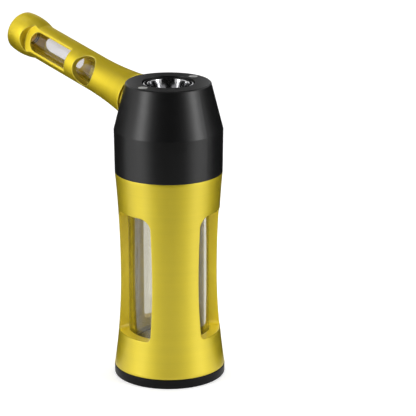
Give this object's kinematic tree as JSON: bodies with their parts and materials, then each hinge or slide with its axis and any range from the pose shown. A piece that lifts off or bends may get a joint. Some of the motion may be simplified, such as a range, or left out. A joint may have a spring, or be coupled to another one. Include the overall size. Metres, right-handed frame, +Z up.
{
  "type": "hand-held water pipe",
  "caption": "Hand-held water pipe: a windowed hour-glass sleeve round a glass chamber on a screwed base, a conical head with a lift-out bowl, and a windowed mouthpiece.",
  "frame": {"origin": "centre of the base cap's flat underside, which stands on the table", "axes": "+Z up along the pipe's turned axis; the mouthpiece points towards -X and rises; +Y completes a right-handed frame"},
  "size_m": [0.1298, 0.0514, 0.1564],
  "materials": {
    "anodised_black": "satin black anodised aluminium",
    "anodised_gold": "satin yellow-gold anodised aluminium, finely turned",
    "clear_glass": "clear borosilicate glass",
    "black_rubber": "black rubber seal",
    "clear_silicone": "milky silicone",
    "polished_steel": "polished stainless steel",
    "plain_steel": "drawn stainless steel",
    "bright_nickel": "nickel-plated magnet"
  },
  "bodies": {
    "base": {"base_cap": "anodised_black", "glass_cushion": "clear_silicone"},
    "base_seal": {"base_o_ring": "black_rubber"},
    "chamber": {"body_sleeve": "anodised_gold", "water_chamber": "clear_glass", "chamber_gasket": "clear_silicone"},
    "neck_seal": {"neck_o_ring": "black_rubber"},
    "head": {"head_shell": "anodised_black", "crown_magnets": "bright_nickel", "bowl_o_ring": "black_rubber", "downstem": "plain_steel", "downstem_washer": "black_rubber", "socket_magnet": "bright_nickel"},
    "bowl": {"bowl": "polished_steel", "bowl_screen": "plain_steel"},
    "socket_seal": {"socket_gasket": "black_rubber"},
    "mouthpiece": {"mouthpiece_sleeve": "anodised_gold", "joint_collar": "anodised_gold", "mouthpiece_glass": "clear_glass", "tip_seal": "black_rubber", "collar_magnet": "bright_nickel", "collar_seal": "black_rubber"}
  },
  "joints": [
    {"name": "chamber_turn", "type": "hinge", "parent": "base", "child": "base_seal", "pos_m": [0, 0, 0.0064], "axis": [0, 0, 1], "range_deg": [0, 1440]},
    {"name": "chamber_rise", "type": "slide", "parent": "base_seal", "child": "chamber", "axis": [0, 0, 1], "range_m": [0, 0.006]},
    {"name": "head_turn", "type": "hinge", "parent": "chamber", "child": "neck_seal", "pos_m": [0, 0, 0.0992], "axis": [0, 0, 1], "range_deg": [0, 1440]},
    {"name": "head_rise", "type": "slide", "parent": "neck_seal", "child": "head", "axis": [0, 0, 1], "range_m": [0, 0.006]},
    {"name": "bowl_lift", "type": "slide", "parent": "head", "child": "bowl", "axis": [0, 0, 1], "range_m": [0, 0.02]},
    {"name": "mouthpiece_turn", "type": "hinge", "parent": "head", "child": "socket_seal", "pos_m": [0, 0, 0.1233], "axis": [-0.9728, 0, 0.2317], "continuous": true},
    {"name": "mouthpiece_pull", "type": "slide", "parent": "socket_seal", "child": "mouthpiece", "axis": [-0.9728, 0, 0.2317], "range_m": [0, 0.02]}
  ],
  "couplings": [
    {"joint": "chamber_rise", "follows": "chamber_turn", "m_per_rad": 0.00023873},
    {"joint": "head_rise", "follows": "head_turn", "m_per_rad": 0.00023873}
  ]
}
